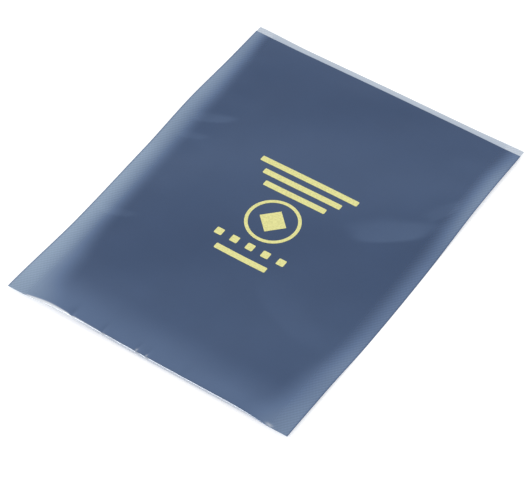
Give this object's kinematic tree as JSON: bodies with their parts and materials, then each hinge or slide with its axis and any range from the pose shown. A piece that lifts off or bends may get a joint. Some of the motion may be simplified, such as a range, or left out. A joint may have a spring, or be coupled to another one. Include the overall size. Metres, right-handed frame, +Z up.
{
  "type": "anti static shielding bag",
  "caption": "Flat open-top bag of metallised shielding film, folded at one end, heat sealed along both sides, with a short lip at the mouth.",
  "frame": {"origin": "centre of the bag's footprint, on the surface it lies on", "axes": "+X across the bag between its side seals, +Y from the folded end to the open mouth, +Z up through the printed front panel"},
  "size_m": [0.1534, 0.2066, 0.0035],
  "materials": {
    "metallised_film": "smoky blue-grey metallised polyester and polyethylene film, smooth, semi-gloss, a little see-through in a single layer",
    "print_ink": "thin pale yellow screen print"
  },
  "bodies": {
    "root": {"bag_film": "metallised_film", "print_bar_1": "print_ink", "print_bar_2": "print_ink", "print_bar_3": "print_ink", "print_ring": "print_ink", "print_lozenge": "print_ink", "print_square_1": "print_ink", "print_square_2": "print_ink", "print_square_3": "print_ink", "print_square_4": "print_ink", "print_square_5": "print_ink", "print_foot_bar": "print_ink"}
  },
  "joints": []
}
